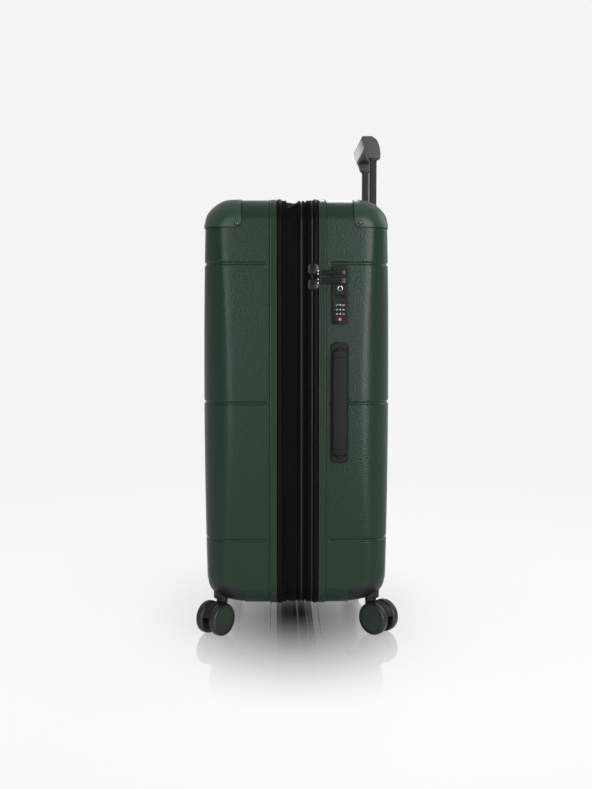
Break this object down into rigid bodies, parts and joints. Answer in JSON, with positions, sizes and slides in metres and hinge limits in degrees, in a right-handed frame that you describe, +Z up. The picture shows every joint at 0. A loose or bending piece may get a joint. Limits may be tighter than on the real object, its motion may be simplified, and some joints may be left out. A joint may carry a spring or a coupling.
{
  "type": "hard shell suitcase on wheels",
  "caption": "Hard shell suitcase with hinged lid, expansion gusset, telescopic trolley handle, combination lock, carry handles and swivelling twin-wheel casters.",
  "frame": {"origin": "on the floor under the middle of the case", "axes": "+X to the lock and side handle, +Y to the trolley side, +Z up"},
  "size_m": [0.5418, 0.3572, 0.8919],
  "materials": {
    "shell": "textured satin, dark green",
    "rim": "smooth satin, dark green",
    "guard": "smooth satin, dark green",
    "zip_tape": "black woven tape",
    "gusset_fabric": "black woven nylon",
    "screw": "dark coated steel",
    "black_moulding": "fine textured black",
    "tyre": "black wheel with a green cap",
    "tube": "black anodised",
    "grip_plastic": "soft touch black",
    "gloss_panel": "high gloss black",
    "button": "satin black",
    "lock_plastic": "satin black",
    "key_metal": "polished",
    "slider_metal": "black chrome",
    "lining_cloth": "dark grey polyester",
    "strap_web": "ribbed webbing",
    "pocket_mesh": "open mesh"
  },
  "bodies": {
    "rear_case": {"rear_shell": "shell", "rear_rim": "rim", "rear_zip_tape": "zip_tape", "rear_guard_left": "guard", "rear_guard_right": "guard", "rear_screws": "screw", "caster_housing_rear_left": "black_moulding", "caster_housing_rear_right": "black_moulding", "trolley_bezel": "black_moulding", "trolley_outer_tubes": "tube", "trolley_foot": "black_moulding", "rear_lining": "lining_cloth", "packing_straps": "strap_web", "strap_buckle": "black_moulding", "lock_body": "lock_plastic", "lock_dial_axle": "screw", "zip_slider_upper": "slider_metal", "zip_slider_lower": "slider_metal", "side_handle_base": "grip_plastic", "top_handle_base": "grip_plastic", "fabric_hinge": "gusset_fabric"},
    "lid_frame": {"lid_band": "zip_tape", "gusset": "gusset_fabric"},
    "front_case": {"front_shell": "shell", "front_rim": "rim", "front_zip_tape": "zip_tape", "front_guard_left": "guard", "front_guard_right": "guard", "front_screws": "screw", "caster_housing_front_left": "black_moulding", "caster_housing_front_right": "black_moulding", "front_lining": "lining_cloth", "mesh_pocket": "pocket_mesh", "expansion_slider": "slider_metal"},
    "lock_button": {"lock_button": "button"},
    "key_cylinder": {"key_cylinder": "key_metal"},
    "dial_1": {"dial_1": "lock_plastic"},
    "dial_2": {"dial_2": "lock_plastic"},
    "dial_3": {"dial_3": "lock_plastic"},
    "pull_tab_upper": {"pull_tab_upper": "slider_metal"},
    "pull_tab_lower": {"pull_tab_lower": "slider_metal"},
    "side_handle": {"side_handle_grip": "grip_plastic"},
    "top_handle": {"top_handle_grip": "grip_plastic"},
    "trolley_middle": {"trolley_middle_tubes": "tube"},
    "trolley_top": {"trolley_inner_tubes": "tube", "grip_body": "grip_plastic", "grip_panel": "gloss_panel"},
    "release_button": {"release_button": "button"},
    "caster_front_right": {"caster_fork_front_right": "black_moulding"},
    "wheel_front_right_a": {"wheel_front_right_a": "tyre"},
    "wheel_front_right_b": {"wheel_front_right_b": "tyre"},
    "caster_front_left": {"caster_fork_front_left": "black_moulding"},
    "wheel_front_left_a": {"wheel_front_left_a": "tyre"},
    "wheel_front_left_b": {"wheel_front_left_b": "tyre"},
    "caster_rear_right": {"caster_fork_rear_right": "black_moulding"},
    "wheel_rear_right_a": {"wheel_rear_right_a": "tyre"},
    "wheel_rear_right_b": {"wheel_rear_right_b": "tyre"},
    "caster_rear_left": {"caster_fork_rear_left": "black_moulding"},
    "wheel_rear_left_a": {"wheel_rear_left_a": "tyre"},
    "wheel_rear_left_b": {"wheel_rear_left_b": "tyre"}
  },
  "joints": [
    {"name": "lid_hinge", "type": "hinge", "parent": "rear_case", "child": "lid_frame", "pos_m": [-0.267, 0.026, 0.406], "axis": [0, 0, -1], "range_deg": [0, 180], "deforming": ["fabric_hinge"]},
    {"name": "expansion_close", "type": "slide", "parent": "lid_frame", "child": "front_case", "axis": [0, 1, 0], "range_m": [0, 0.019], "deforming": ["gusset"]},
    {"name": "trolley_lower_stage", "type": "slide", "parent": "rear_case", "child": "trolley_middle", "axis": [0, 0, 1], "range_m": [0, 0.15]},
    {"name": "trolley_upper_stage", "type": "slide", "parent": "trolley_middle", "child": "trolley_top", "axis": [0, 0, 1], "range_m": [-0.136, 0.035]},
    {"name": "release_press", "type": "slide", "parent": "trolley_top", "child": "release_button", "axis": [0, 0, -1], "range_m": [0, 0.003], "stiffness_N_per_m": 300, "springref_m": -0.002},
    {"name": "lock_release", "type": "slide", "parent": "rear_case", "child": "lock_button", "axis": [0, 0, -1], "range_m": [0, 0.0035], "stiffness_N_per_m": 300, "springref_m": -0.002},
    {"name": "key_turn", "type": "hinge", "parent": "lock_button", "child": "key_cylinder", "pos_m": [0.2649, 0.0731, 0.6063], "axis": [1, 0, 0], "range_deg": [0, 90]},
    {"name": "tab_upper_swing", "type": "hinge", "parent": "rear_case", "child": "pull_tab_upper", "pos_m": [0.2644, 0.0358, 0.6333], "axis": [0, 0, -1], "range_deg": [0, 150]},
    {"name": "tab_lower_swing", "type": "hinge", "parent": "rear_case", "child": "pull_tab_lower", "pos_m": [0.2644, 0.0358, 0.6193], "axis": [0, 0, -1], "range_deg": [0, 150]},
    {"name": "side_handle_pull", "type": "slide", "parent": "rear_case", "child": "side_handle", "axis": [1, 0, 0], "range_m": [0, 0.018], "stiffness_N_per_m": 150, "springref_m": -0.004},
    {"name": "top_handle_pull", "type": "slide", "parent": "rear_case", "child": "top_handle", "axis": [0, 0, 1], "range_m": [0, 0.018], "stiffness_N_per_m": 150, "springref_m": -0.004},
    {"name": "dial_1_turn", "type": "hinge", "parent": "rear_case", "child": "dial_1", "pos_m": [0.2602, 0.0734, 0.578], "axis": [0, 0, 1], "continuous": true},
    {"name": "dial_2_turn", "type": "hinge", "parent": "rear_case", "child": "dial_2", "pos_m": [0.2602, 0.0734, 0.5704], "axis": [0, 0, 1], "continuous": true},
    {"name": "dial_3_turn", "type": "hinge", "parent": "rear_case", "child": "dial_3", "pos_m": [0.2602, 0.0734, 0.5628], "axis": [0, 0, 1], "continuous": true},
    {"name": "swivel_front_right", "type": "hinge", "parent": "front_case", "child": "caster_front_right", "pos_m": [0.218, -0.132, 0.08], "axis": [0, 0, 1], "continuous": true},
    {"name": "roll_front_right_a", "type": "hinge", "parent": "caster_front_right", "child": "wheel_front_right_a", "pos_m": [0.23218, -0.14308, 0.0285], "axis": [0.6157, 0.788, 0], "continuous": true},
    {"name": "roll_front_right_b", "type": "hinge", "parent": "caster_front_right", "child": "wheel_front_right_b", "pos_m": [0.23218, -0.14308, 0.0285], "axis": [0.6157, 0.788, 0], "continuous": true},
    {"name": "swivel_front_left", "type": "hinge", "parent": "front_case", "child": "caster_front_left", "pos_m": [-0.218, -0.132, 0.08], "axis": [0, 0, 1], "continuous": true},
    {"name": "roll_front_left_a", "type": "hinge", "parent": "caster_front_left", "child": "wheel_front_left_a", "pos_m": [-0.23218, -0.14308, 0.0285], "axis": [0.6157, -0.788, 0], "continuous": true},
    {"name": "roll_front_left_b", "type": "hinge", "parent": "caster_front_left", "child": "wheel_front_left_b", "pos_m": [-0.23218, -0.14308, 0.0285], "axis": [0.6157, -0.788, 0], "continuous": true},
    {"name": "swivel_rear_right", "type": "hinge", "parent": "rear_case", "child": "caster_rear_right", "pos_m": [0.218, 0.132, 0.08], "axis": [0, 0, 1], "continuous": true},
    {"name": "roll_rear_right_a", "type": "hinge", "parent": "caster_rear_right", "child": "wheel_rear_right_a", "pos_m": [0.23028, 0.14516, 0.0285], "axis": [-0.7314, 0.682, 0], "continuous": true},
    {"name": "roll_rear_right_b", "type": "hinge", "parent": "caster_rear_right", "child": "wheel_rear_right_b", "pos_m": [0.23028, 0.14516, 0.0285], "axis": [-0.7314, 0.682, 0], "continuous": true},
    {"name": "swivel_rear_left", "type": "hinge", "parent": "rear_case", "child": "caster_rear_left", "pos_m": [-0.218, 0.132, 0.08], "axis": [0, 0, 1], "continuous": true},
    {"name": "roll_rear_left_a", "type": "hinge", "parent": "caster_rear_left", "child": "wheel_rear_left_a", "pos_m": [-0.23028, 0.14516, 0.0285], "axis": [-0.7314, -0.682, 0], "continuous": true},
    {"name": "roll_rear_left_b", "type": "hinge", "parent": "caster_rear_left", "child": "wheel_rear_left_b", "pos_m": [-0.23028, 0.14516, 0.0285], "axis": [-0.7314, -0.682, 0], "continuous": true}
  ]
}
